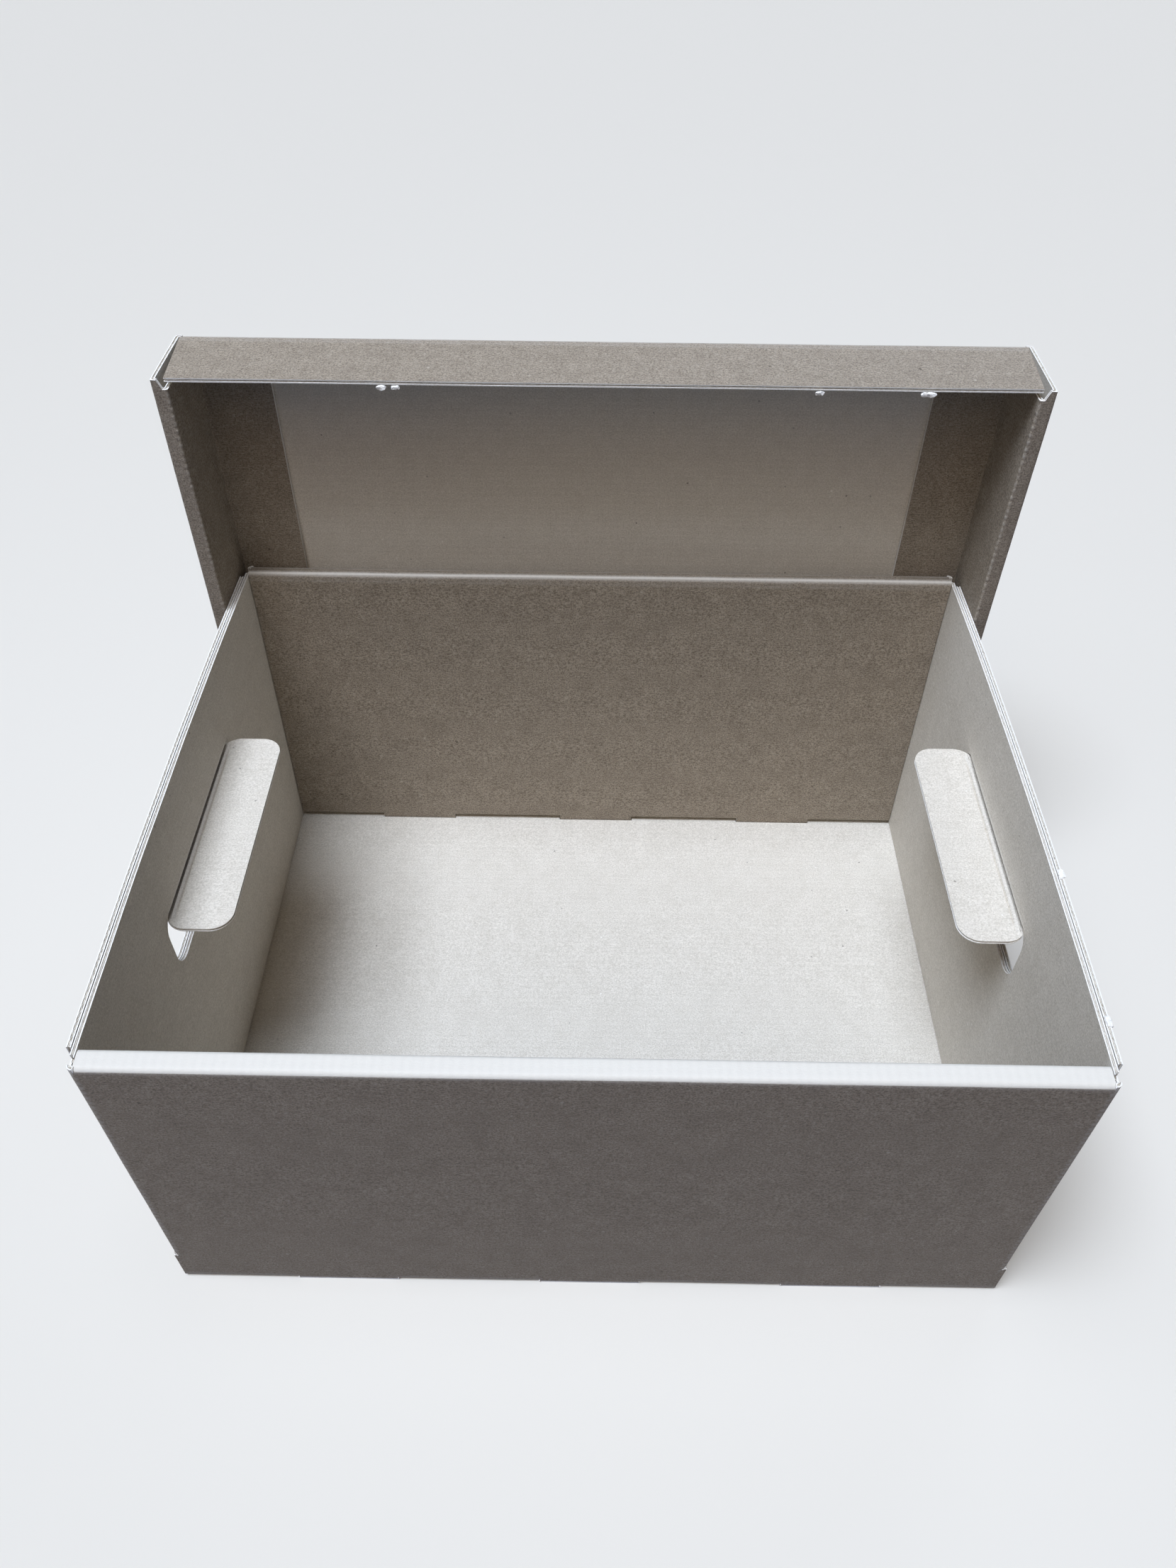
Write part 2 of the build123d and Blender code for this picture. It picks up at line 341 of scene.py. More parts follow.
@dataclass
class Stand:
    """How the tray stands: its underside leans on the lid's lower side. Millimetres and radians."""

    tray_front: float = -147.4993
    tilt: float = 0.00743626
    tray_depth: float = 292.0
    tray_height: float = 175.0
    wall_bow: float = 2.2
    bow_start: float = 141.0
    bow_power: float = 1.4
    ripple: float = 0.16
    ripple_length: float = 48.0
    end_zone: tuple[float, float] = (164.0, 177.0)

    def local(self, point: Vector) -> Vector:
        """Turn a world point into the tray's own frame.

        Args:
            point: World point in metres.

        Returns:
            The point in the tray's frame, in millimetres.
        """
        y, z = point.y / MM - self.tray_front, point.z / MM
        turn, lift = math.cos(self.tilt), math.sin(self.tilt)
        return Vector((point.x / MM, y * turn + z * lift, z * turn - y * lift))

    def world(self, point: Vector) -> Vector:
        """Turn a point of the tray's own frame into the world.

        Args:
            point: Point in the tray's frame, in millimetres.

        Returns:
            The world point in metres.
        """
        turn, lift = math.cos(self.tilt), math.sin(self.tilt)
        return Vector((
            point.x, self.tray_front + point.y * turn - point.z * lift, point.y * lift + point.z * turn)) * MM

    def bow(self, point: Vector) -> Vector:
        """Bow the tray's end walls outwards above the hand holes, most at the middle of the rim.

        Args:
            point: World point in metres.

        Returns:
            The moved point.
        """
        spot = self.local(point)
        first, last = self.end_zone
        share = min(max((abs(spot.x) - first) / (last - first), 0), 1)
        half = self.tray_depth / 2
        rise = max((spot.z - self.bow_start) / (self.tray_height - self.bow_start), 0)
        belly = max(1 - ((spot.y - half) / half) ** 2, 0) * rise ** self.bow_power
        shift = math.copysign(self.wall_bow * share * belly, spot.x)
        return point + Vector((shift * MM, 0, 0))

    def unevenness(self, point: Vector) -> Vector:
        """Give the small wander of folded board at a point, in metres."""
        return noise.noise_vector(point / (self.ripple_length * MM)) * self.ripple * MM


@dataclass
class BoardSheet:
    """A folded sheet of corrugated board: a copy of its CAD solid, sorted, cut up and dressed.

    Millimetres and degrees.
    """

    node: str
    body: str
    slot: str
    seed: tuple[float, float, float]
    seed_normal: tuple[float, float, float]
    stand: Stand
    board: float = 1.8
    liner: float = 0.45
    groove: float = 0.4
    flute_pitch: float = 3.4
    flute_paper: float = 0.16
    fold_angle: float = 30.0
    smooth_angle: float = 38.0
    edge_depth: float = 2.07
    edge_width: float = 0.5
    scrap_area: float = 5.0
    flat_turn: float = 0.03  # radians
    panel_area: float = 300.0
    fold_width: float = 1.6
    strip_length: float = 5.0
    strip_width: tuple[float, float] = (1.5, 2.1)
    line_pitch: float = 70.0
    ribbon_top: float = 0.08
    ribbon_root: float = 0.1
    skin: float = 0.01
    normal_weight: float = 5.0
    groove_slope: float = 0.02
    least_run: float = 0.2
    line_sway: float = 0.6
    wave_steps: int = 9
    line_steps: int = 12
    least_steps: int = 6
    flute_smooth: float = 40.0
    strips: list[RawStrip] = field(default_factory=list)

    def flute(self, centre: Vector, normal: Vector) -> Vector:
        """Give the direction of the flutes, a unit vector, at a face with this middle, in metres, and normal."""
        return Vector((1, 0, 0))

    def planes(self) -> Iterable[tuple[Vector, Vector]]:
        """Give the planes, as a point and a normal in metres, at which the sheet is divided."""
        return ()

    def settle(self, point: Vector) -> Vector:
        """Move a point of the flat CAD form to where it is on the used box."""
        return point

    def rolled(self, point: Vector) -> float:
        """Tell how much painted sheen, a paler highlight colour, lies on the paper at a point, from 0 to 1."""
        return 0.0

    def wear_and_highlight(self, point: Vector) -> float:
        """Tell how pale the paper on a fold is at a point, from 0 to 1: partly rubbed wear, partly a painted
        highlight.
        """
        return 1.0

    def tear(self, sheet: bpy.types.Object) -> None:
        """Mark more of the sheet as torn fibre, where the die tore it."""

    def build(self) -> list[bpy.types.Object]:
        """Make the dressed sheet and the fluting that shows at its raw edges.

        Returns:
            The finished pieces.
        """
        sheet = self.copy_solid()
        self.sort_faces(sheet)
        self.divide(sheet)
        self.open_edges(sheet)
        self.tear(sheet)
        self.lay_pattern(sheet)
        self.mark_folds(sheet)
        self.relax(sheet)
        only(sheet)
        bpy.ops.object.shade_smooth_by_angle(angle=math.radians(self.smooth_angle))
        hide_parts(self.node)
        pieces = [sheet]
        fluting = self.fluting()
        if fluting is not None:
            pieces.append(fluting)
        for piece in pieces:
            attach(piece, self.body)
        return pieces

    def copy_solid(self) -> bpy.types.Object:
        """Copy the CAD solid with its doubles merged and its flat faces whole.

        Returns:
            The copy.
        """
        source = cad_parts[self.node]
        sheet = bpy.data.objects.new(f"{self.node}_sheet", source.data.copy())
        bpy.context.scene.collection.objects.link(sheet)
        sheet.data.materials.clear()
        only(sheet)
        bpy.ops.mesh.customdata_custom_splitnormals_clear()
        bpy.ops.object.mode_set(mode="EDIT")
        bpy.ops.mesh.select_all(action="SELECT")
        bpy.ops.mesh.remove_doubles(threshold=1e-6)
        bpy.ops.mesh.dissolve_limited(angle_limit=0.002)
        bpy.ops.object.mode_set(mode="OBJECT")
        return sheet

    def sort_faces(self, sheet: bpy.types.Object) -> None:
        """Tell the outer liner, the inner liner and the raw edges apart.

        A raw edge has more than a board's thickness behind it. The outer liner is what can be reached from
        the seed over folds only, and the rest is the inner liner.

        Args:
            sheet: Merged copy of the solid.
        """
        mesh = bmesh.new()
        mesh.from_mesh(sheet.data)
        mesh.normal_update()
        mesh.faces.ensure_lookup_table()
        tree = BVHTree.FromBMesh(mesh)
        middle: dict[int, tuple[float, Vector]] = {}
        for loops in mesh.calc_loop_triangles():
            a, b, c = (loop.vert.co for loop in loops)
            area = (b - a).cross(c - a).length / 2
            index = loops[0].face.index
            if index not in middle or area > middle[index][0]:
                middle[index] = (area, (a + b + c) / 3)
        cut: set[int] = set()
        for face in mesh.faces:
            hit = tree.ray_cast(middle[face.index][1] - face.normal * (self.skin * MM), -face.normal, 1.0)
            width = face.calc_area() / max(edge.calc_length() for edge in face.edges)
            if (hit[3] or 1.0) > self.edge_depth * MM and width > self.edge_width * MM:
                cut.add(face.index)
        point, normal = Vector(self.seed) * MM, Vector(self.seed_normal)
        first = min(mesh.faces, key=lambda f: (
            (middle[f.index][1] - point).length + self.normal_weight * (f.normal - normal).length))
        outer = self.reach(mesh, first.index, cut)
        left = {f.index for f in mesh.faces} - outer - cut
        while left:
            island = self.reach(mesh, min(left), cut | outer)
            if sum(mesh.faces[i].calc_area() for i in island) < self.scrap_area * MM * MM:
                cut |= island
            left -= island
        fold = mesh.faces.layers.float.new("fold")
        for face in mesh.faces:
            face.material_index = (
                Side.EDGE if face.index in cut else Side.OUTER if face.index in outer else Side.INNER)
            face[fold] = self.bend(face)
        self.strips = [strip for i in sorted(cut) if (strip := self.strip(mesh.faces[i])) is not None]
        mesh.to_mesh(sheet.data)
        mesh.free()

    def reach(self, mesh: bmesh.types.BMesh, start: int, closed: set[int]) -> set[int]:
        """Collect the faces that can be reached over gentle edges.

        Args:
            mesh: Mesh of the sheet.
            start: Face to start from.
            closed: Faces not to enter.

        Returns:
            Numbers of the faces reached.
        """
        found, queue = {start}, deque([start])
        limit = math.radians(self.fold_angle)
        while queue:
            for edge in mesh.faces[queue.popleft()].edges:
                if len(edge.link_faces) != 2 or edge.calc_face_angle(math.pi) > limit:
                    continue
                for face in edge.link_faces:
                    if face.index not in found and face.index not in closed:
                        found.add(face.index)
                        queue.append(face.index)
        return found

    def bend(self, face: bmesh.types.BMFace) -> float:
        """Tell whether a face lies on a fold.

        Args:
            face: Face of the sheet.

        Returns:
            1 on a fold that stands out, -1 on one that goes in, 0 on a flat.
        """
        turns = [
            edge.calc_face_angle_signed(0) for edge in face.edges
            if self.flat_turn < edge.calc_face_angle(0) < math.radians(self.fold_angle)]
        if len(turns) < 2 and face.calc_area() > self.panel_area * MM * MM or not turns:
            return 0.0
        width = face.calc_area() / max(edge.calc_length() for edge in face.edges)
        if width > self.fold_width * MM:
            return 0.0
        return 1.0 if sum(turns) > 0 else -1.0

    def strip(self, face: bmesh.types.BMFace) -> RawStrip | None:
        """Measure a raw edge.

        Args:
            face: Face of the raw edge.

        Returns:
            The stretch, or None where it is too short or isn't one board thick.
        """
        longest = max(face.edges, key=lambda edge: edge.calc_length())
        along = (longest.verts[1].co - longest.verts[0].co).normalized()
        across = face.normal.cross(along)
        reach_u = [v.co.dot(along) for v in face.verts]
        reach_v = [v.co.dot(across) for v in face.verts]
        length, width = max(reach_u) - min(reach_u), max(reach_v) - min(reach_v)
        if length < self.strip_length * MM or not self.strip_width[0] < width / MM < self.strip_width[1]:
            return None
        centre = (
            along * (max(reach_u) + min(reach_u)) / 2 + across * (max(reach_v) + min(reach_v)) / 2
            + face.normal * face.normal.dot(face.verts[0].co))
        end_on = abs(self.flute(centre, across).dot(face.normal)) > FACING
        return RawStrip(centre, along, across, face.normal.copy(), length, end_on)

    def divide(self, sheet: bpy.types.Object) -> None:
        """Cut the sheet's faces at its planes, so that it can bow and carry its fold marks.

        Args:
            sheet: Sorted sheet.
        """
        only(sheet)
        bpy.ops.object.mode_set(mode="EDIT")
        for point, normal in self.planes():
            bpy.ops.mesh.select_all(action="SELECT")
            bpy.ops.mesh.bisect(plane_co=point, plane_no=normal)
        bpy.ops.object.mode_set(mode="OBJECT")

    def open_edges(self, sheet: bpy.types.Object) -> None:
        """Sink the middle of every raw edge between the two liners.

        Args:
            sheet: Divided sheet.
        """
        only(sheet)
        bpy.ops.object.mode_set(mode="EDIT")
        bpy.ops.mesh.select_mode(type="FACE")
        bpy.ops.mesh.select_all(action="DESELECT")
        bpy.ops.object.mode_set(mode="OBJECT")
        for polygon in sheet.data.polygons:
            polygon.select = polygon.material_index == Side.EDGE
        bpy.ops.object.mode_set(mode="EDIT")
        bpy.ops.mesh.inset(thickness=self.liner * MM, use_even_offset=False)
        bpy.ops.mesh.inset(thickness=self.groove_slope * MM, depth=-self.groove * MM, use_even_offset=False)
        bpy.ops.object.mode_set(mode="OBJECT")
        for polygon in sheet.data.polygons:
            if polygon.select:
                polygon.material_index = Side.HOLLOW

    def lay_pattern(self, sheet: bpy.types.Object) -> None:
        """Give the sheet its "board" UV map, in metres along and across the flutes.

        Args:
            sheet: Sheet with its raw edges opened.
        """
        data = sheet.data
        layer = data.uv_layers.new(name="board")
        for polygon in data.polygons:
            normal = polygon.normal
            run = self.flute(polygon.center, normal)
            run = run - normal * run.dot(normal)
            if run.length < self.least_run:
                run = normal.orthogonal()
            run.normalize()
            side = normal.cross(run)
            for corner in polygon.loop_indices:
                spot = data.vertices[data.loops[corner].vertex_index].co
                layer.data[corner].uv = (spot.dot(run), spot.dot(side))

    def mark_folds(self, sheet: bpy.types.Object) -> None:
        """Mark the points that lie on a fold, as the "crease" attribute.

        Args:
            sheet: Sheet with its pattern.
        """
        data = sheet.data
        fold = [entry.value for entry in data.attributes["fold"].data]
        data.attributes.remove(data.attributes["fold"])
        values = [0.0] * len(data.vertices)
        for polygon in data.polygons:
            if polygon.material_index <= Side.INNER and fold[polygon.index] > 0:
                for index in polygon.vertices:
                    values[index] = self.wear_and_highlight(data.vertices[index].co)
        mark = data.attributes.new("crease", "FLOAT", "POINT")
        mark.data.foreach_set("value", values)
        # The rolled attribute carries the painted sheen
        mark = data.attributes.new("rolled", "FLOAT", "POINT")
        mark.data.foreach_set("value", [self.rolled(vertex.co) for vertex in data.vertices])

    def relax(self, sheet: bpy.types.Object) -> None:
        """Let the sheet take the shape of a used box, inside the space of the CAD model.

        Args:
            sheet: Sheet, still in the exact form of the CAD solid.
        """
        for vertex in sheet.data.vertices:
            spot = self.settle(vertex.co)
            vertex.co = [min(max(c, low), high) for c, low, high in zip(spot, *CAD_BOX)]
        sheet.data.update()

    def fluting(self) -> bpy.types.Object | None:
        """Make the fluting that shows in the raw edges, as one piece.

        Returns:
            The piece, or None where the sheet has no raw edge long enough.
        """
        ribbons = [self.ribbon(strip) for strip in self.strips]
        if not ribbons:
            return None
        bpy.ops.object.select_all(action="DESELECT")
        for ribbon in ribbons:
            ribbon.select_set(True)
        bpy.context.view_layer.objects.active = ribbons[0]
        bpy.ops.object.join()
        piece = bpy.context.view_layer.objects.active
        piece.name = f"{self.node}_fluting"
        self.relax(piece)
        only(piece)
        bpy.ops.object.shade_smooth_by_angle(angle=math.radians(self.flute_smooth))
        return piece

    def ribbon(self, strip: RawStrip) -> bpy.types.Object:
        """Make the fluting of one raw edge: a wave where the flutes end on it, else a line that wanders.

        Args:
            strip: The raw edge.

        Returns:
            Ribbon of paper that stands in the groove.
        """
        length = strip.length - 2 * self.liner * MM
        room = (self.board / 2 - self.liner - self.flute_paper / 2) * MM
        pitch, swing, per_wave = self.line_pitch, room * self.line_sway, self.line_steps
        if strip.end_on:
            pitch, swing, per_wave = self.flute_pitch, room, self.wave_steps
        steps = max(int(length / (pitch * MM) * per_wave), self.least_steps)
        bpy.ops.object.select_all(action="DESELECT")
        bpy.ops.mesh.primitive_grid_add(x_subdivisions=steps, y_subdivisions=1, size=1)
        ribbon = bpy.context.view_layer.objects.active
        phase = strip.centre.dot(strip.along)
        for vertex in ribbon.data.vertices:
            run = vertex.co.x * length
            sway = swing * math.sin(math.tau * (run + phase) / (pitch * MM))
            deep = (self.ribbon_top if vertex.co.y > 0 else self.groove + self.ribbon_root) * MM
            vertex.co = strip.centre + strip.along * run + strip.across * sway - strip.normal * deep
        thick = ribbon.modifiers.new("paper", "SOLIDIFY")
        thick.thickness = self.flute_paper * MM
        thick.offset = 0
        bpy.ops.object.modifier_apply(modifier=thick.name)
        return ribbon


@dataclass
class Tray(BoardSheet):
    """The tray: rolled long walls, bottom and doubled ends. Millimetres and degrees, in the tray's own frame."""

    inner_end: float = 180.2
    cuts_x: tuple[float, ...] = (
        -176, -160, -140, -120, -100, -80, -60, -40, -20, 0, 20, 40, 60, 80, 100, 120, 140, 160, 176)
    cuts_y: tuple[float, ...] = (
        13, 16, 30, 50, 70, 86, 102, 118, 132, 146, 160, 174, 190, 206, 222, 242, 262, 276, 287.4)
    cuts_z: tuple[float, ...] = (0.9, 6, 12, 30, 50, 70, 90, 107, 122, 141.6, 154, 164, 170)
    hole_lip: float = 140.0
    lip_height: float = 1.6
    lip_push: float = 0.3
    tab_spacing: float = 107.0
    slot_width: float = 43.8
    roll_width: float = 9.0
    roll_fold: float = 2.2
    rear_lift: float = 2.4
    # Painted highlight: its share on the hand holes' lips and where its band lies on the front and rear strips
    lip_highlight: float = 0.5
    highlight_width: float = 9.5
    highlight_depth: tuple[float, float] = (1.4, 1.6)
    highlight_angle: float = 52.0
    highlight_spread: float = 42.0
    hole_half: float = 57.0
    hole_fade: float = 9.0
    steady_half: float = 64.0
    steady_z: tuple[float, float] = (100.0, 147.0)
    end_start: float = 170.0
    torn_height: float = 0.9
    torn_reach: float = 140.0

    def flute(self, centre: Vector, normal: Vector) -> Vector:
        """Give the flutes' direction: across the box, upright in the outer end plies and level in the inner ones.

        Args:
            centre: Middle of the face in metres.
            normal: Its normal.

        Returns:
            Unit vector.
        """
        if abs(normal.x) < FACING:
            return Vector((1, 0, 0))
        return Vector((0, 0, 1)) if abs(centre.x) > self.inner_end * MM else Vector((0, 1, 0))

    def planes(self) -> Iterable[tuple[Vector, Vector]]:
        """Give the planes, square to the tilted tray.

        Yields:
            Point and normal.
        """
        base = self.stand.world(Vector((0, 0, 0)))
        for axis, cuts in enumerate((self.cuts_x, self.cuts_y, self.cuts_z)):
            for cut in cuts:
                spot = Vector((0, 0, 0))
                spot[axis] = cut
                ahead = spot.copy()
                ahead[axis] += 1
                normal = self.stand.world(ahead) - self.stand.world(spot)
                yield self.stand.world(spot) if axis else base + Vector((cut * MM, 0, 0)), normal.normalized()

    def rolled(self, point: Vector) -> float:
        """Paint a sheen, a paler highlight colour, on the front strip, the inner fold of the rear one and the hand
        holes' lips.

        Args:
            point: World point in metres.

        Returns:
            Share from 0 to 1.
        """
        spot = self.stand.local(point)
        if self.lip(spot) > 0:
            return self.lip_highlight * self.lip(spot)
        below_rim = self.stand.tray_height - spot.z
        if below_rim > self.highlight_depth[1] or abs(spot.x) > self.inner_end:
            return 0.0
        if spot.y < self.highlight_width and below_rim < self.highlight_depth[0]:
            return 1.0
        forward = self.stand.tray_depth - self.roll_width + self.roll_fold - spot.y
        upward = spot.z - self.stand.tray_height - self.rear_lift + self.roll_fold
        if min(forward, upward) < 0:
            return 0.0
        # The painted highlight on the rear fold is brightest at this angle round the fold
        off = abs(math.degrees(math.atan2(upward, forward)) - self.highlight_angle)
        return max(1 - off / self.highlight_spread, 0)

    def lip(self, spot: Vector) -> float:
        """Tell how far a point lies on the lip of a hand hole that the flap dragged in.

        Args:
            spot: Point in the tray's frame, in millimetres.

        Returns:
            Share from 0 to 1.
        """
        if not self.end_start <= abs(spot.x) <= self.inner_end or spot.z < self.hole_lip - SLACK:
            return 0.0
        end = min(max((self.hole_half - abs(spot.y - self.stand.tray_depth / 2)) / self.hole_fade, 0), 1)
        return end * min(max(1 - (spot.z - self.hole_lip) / self.lip_height, 0), 1)

    def tear(self, sheet: bpy.types.Object) -> None:
        """Tear the lower lip of the front and rear walls at the locking slots.

        Args:
            sheet: Sheet with its raw edges opened.
        """
        for polygon in sheet.data.polygons:
            spot = self.stand.local(polygon.center)
            from_tab = abs(spot.x - round(spot.x / self.tab_spacing) * self.tab_spacing)
            at_slot = from_tab < self.slot_width / 2 and abs(spot.x) < self.torn_reach
            if at_slot and spot.z < self.torn_height and abs(polygon.normal.y) > FACING:
                polygon.material_index = Side.EDGE

    def settle(self, point: Vector) -> Vector:
        """Bow the end walls, and let the board wander away from the hand holes.

        Args:
            point: World point in metres.

        Returns:
            The moved point.
        """
        spot = self.stand.local(point)
        near = (
            abs(spot.y - self.stand.tray_depth / 2) < self.steady_half and abs(spot.x) > self.end_start
            and self.steady_z[0] < spot.z < self.steady_z[1])
        moved = self.stand.bow(point)
        moved.x -= math.copysign(self.lip_push * self.lip(spot) * MM, spot.x)
        return moved if near else moved + self.stand.unevenness(point)


@dataclass
class HandFlap(BoardSheet):
    """A flap cut from an outer end panel and pushed in level. Millimetres."""

    cuts_y: tuple[float, ...] = (90, 94, 98, 105, 112, 124, 136, 146, 156, 168, 180, 187, 194, 198, 202)
    cuts_hinge: tuple[float, ...] = (0.6, 1.2, 1.8, 2.5, 3.0, 3.5, 4.0, 4.5, 5.0, 9, 14, 19, 24)
    hinge: float = 180.4
    hole_top: float = 137.5
    length: float = 114.4
    flat_end: float = 4.0
    fade_length: float = 9.0
    crease_half: float = 0.5
    second_crease: float = 4.5
    crease_depth: float = 0.55
    strip_end: float = 3.0
    lift: float = 0.9
    valley_depth: float = 1.5
    strip_margin: float = 0.3
    # Painted highlight: a faint paler tint on the strip beside the hinge
    strip_highlight: float = 0.1
    underside: float = -0.9
    smooth_angle: float = 9.0

    def copy_solid(self) -> bpy.types.Object:
        """Copy the outline of the CAD solid as a plain plate; its crease is pressed in once the raw edges are open.

        Returns:
            The plate.
        """
        sheet = super().copy_solid()
        only(sheet)
        bpy.ops.object.mode_set(mode="EDIT")
        bpy.ops.mesh.select_mode(type="FACE")
        bpy.ops.mesh.select_all(action="DESELECT")
        bpy.ops.object.mode_set(mode="OBJECT")
        for polygon in sheet.data.polygons:
            polygon.select = polygon.normal.z > self.underside
        bpy.ops.object.mode_set(mode="EDIT")
        bpy.ops.mesh.delete(type="FACE")
        bpy.ops.object.mode_set(mode="OBJECT")
        thick = sheet.modifiers.new("board", "SOLIDIFY")
        thick.thickness = self.board * MM
        thick.offset = -1
        bpy.ops.object.modifier_apply(modifier=thick.name)
        return sheet

    def planes(self) -> Iterable[tuple[Vector, Vector]]:
        """Give the planes, square to the hinge and along it.

        Yields:
            Point and normal.
        """
        for cut in self.cuts_y:
            spot = self.stand.world(Vector((0, cut, 0)))
            yield spot, (self.stand.world(Vector((0, cut + 1, 0))) - spot).normalized()
        for cut in self.cuts_hinge:
            for side in (-1, 1):
                yield Vector((side * (self.hinge - cut) * MM, 0, 0)), Vector((1, 0, 0))

    def rolled(self, point: Vector) -> float:
        """Paint a faint sheen, a paler highlight colour, on the strip beside the hinge.

        Args:
            point: World point in metres.

        Returns:
            Share from 0 to 1.
        """
        spot = self.stand.local(point)
        away = self.hinge - abs(spot.x)
        on_top = spot.z > self.hole_top - self.board / 2
        on_strip = self.strip_end - SLACK < away < self.second_crease - self.strip_margin
        return self.strip_highlight if on_top and on_strip else 0.0

    def settle(self, point: Vector) -> Vector:
        """Press in the second crease and raise the strip beside the hinge.

        Args:
            point: World point in metres.

        Returns:
            The moved point.
        """
        spot = self.stand.local(point)
        away = self.hinge - abs(spot.x)
        from_end = self.length / 2 - abs(spot.y - self.stand.tray_depth / 2)
        fade = min(max((from_end - self.flat_end) / self.fade_length, 0), 1)
        strip = min(max((self.second_crease - away) / (self.second_crease - self.strip_end), 0), 1)
        fall = min(max((self.strip_end - away) / self.crease_half, 0), 1)
        rise = self.lift * strip * (1 - fall)
        if spot.z > self.hole_top - self.board / 2:
            press = max(1 - abs(away - self.second_crease) / self.crease_half, 0)
            rise -= self.valley_depth * fall + self.crease_depth * press
        return point + Vector((0, 0, rise * fade * MM))


@dataclass
class Lid(BoardSheet):
    """The lid: panel, long sides and rolled ends, upright behind the tray. Millimetres."""

    cuts_x: tuple[float, ...] = (
        -186.4, -180, -170, -140, -110, -80, -50, -20, 20, 50, 80, 110, 140, 170, 180, 186.4)
    cuts_y: tuple[float, ...] = (110.5, 120, 130, 140)
    cuts_z: tuple[float, ...] = (
        8, 20, 40, 60, 80, 100, 120, 140, 160, 180, 200, 220, 240, 260, 276, 288)
    rim_face: float = 105.8
    rim_inside: float = 183.4
    rim_outside: float = 190.0
    rim_fold: float = 2.2
    squareness: float = 5.5
    bead_step: float = 0.57
    bead_height: float = 0.13
    bead_drift: float = 4.0
    bead_share: float = 0.6
    bead_power: int = 2
    pale_power: int = 3
    fold_slack: float = 0.12
    cut_slack: float = 0.01

    def flute(self, centre: Vector, normal: Vector) -> Vector:
        """Give the direction of the flutes: across the lid, turning with the sheet round the rolled ends.

        Args:
            centre: Middle of the face in metres; not used here.
            normal: Its normal.

        Returns:
            Unit vector.
        """
        if abs(normal.z) > FACING:
            return Vector((1, 0, 0))
        return Vector((0, 0, 1)).cross(normal).normalized()

    def planes(self) -> Iterable[tuple[Vector, Vector]]:
        """Give the planes, square to the box.

        Yields:
            Point and normal.
        """
        for axis, cuts in enumerate((self.cuts_x, self.cuts_y, self.cuts_z)):
            for cut in cuts:
                normal = Vector((0, 0, 0))
                normal[axis] = 1
                yield normal * cut * MM, normal

    def divide(self, sheet: bpy.types.Object) -> None:
        """Cut the sheet's faces, finely along the inner folds of the rims, where every flute makes a bead.

        Args:
            sheet: Sorted sheet.
        """
        super().divide(sheet)
        only(sheet)
        bpy.ops.object.mode_set(mode="EDIT")
        bpy.ops.mesh.select_mode(type="EDGE")
        for low, high in zip(self.cuts_z, self.cuts_z[1:]):
            bpy.ops.mesh.select_all(action="DESELECT")
            mesh = bmesh.from_edit_mesh(sheet.data)
            for edge in mesh.edges:
                ends = sorted(vert.co.z / MM for vert in edge.verts)
                on_fold = all(self.corner(vert.co, self.rim_inside) is not None for vert in edge.verts)
                if on_fold and max(abs(ends[0] - low), abs(ends[1] - high)) < self.cut_slack:
                    edge.select_set(True)
            bmesh.update_edit_mesh(sheet.data)
            bpy.ops.mesh.subdivide(number_cuts=round((high - low) / self.bead_step) - 1)
        bpy.ops.object.mode_set(mode="OBJECT")

    def corner(self, point: Vector, face: float) -> Vector | None:
        """Tell where a point lies on one of a rim's two folds.

        Args:
            point: World point in metres.
            face: Place across the lid of the ply's face beyond the fold.

        Returns:
            Unit vector from the middle of the fold, across the lid and forwards, or None off the fold.
        """
        outward = math.copysign(1, face - (self.rim_inside + self.rim_outside) / 2)
        across = outward * (abs(point.x) / MM - face) + self.rim_fold
        ahead = self.rim_face + self.rim_fold - point.y / MM
        reach = math.hypot(across, ahead)
        if min(across, ahead) < -SLACK or abs(reach - self.rim_fold) > self.fold_slack:
            return None
        return Vector((max(across, 0), max(ahead, 0))) / reach

    def wear_and_highlight(self, point: Vector) -> float:
        """Make the rims pale on the corner of their inner folds only, partly as rubbed wear and partly as a painted
        highlight.

        Args:
            point: World point in metres.

        Returns:
            Share from 0 to 1.
        """
        if (inner := self.corner(point, self.rim_inside)) is not None:
            return (2 * inner.x * inner.y) ** self.pale_power
        return 0.0 if self.corner(point, self.rim_outside) is not None else 1.0

    def settle(self, point: Vector) -> Vector:
        """Let the board wander a little, with the rims pressed square and beaded by the flutes.

        Args:
            point: World point in metres.

        Returns:
            The moved point.
        """
        moved = point + self.stand.unevenness(point)
        for face, outward in ((self.rim_inside, -1), (self.rim_outside, 1)):
            if (way := self.corner(point, face)) is None:
                continue
            power = self.squareness
            grow = self.rim_fold * ((way.x ** power + way.y ** power) ** (-1 / power) - 1)
            if outward < 0:
                swell = math.sin(math.tau * point.z / (self.flute_pitch * MM))
                swell *= self.bead_share + noise.noise(point / (self.bead_drift * MM))
                grow += self.bead_height * (2 * way.x * way.y) ** self.bead_power * swell
            moved += Vector((math.copysign(way.x, point.x) * outward, -way.y, 0)) * grow * MM
        return moved


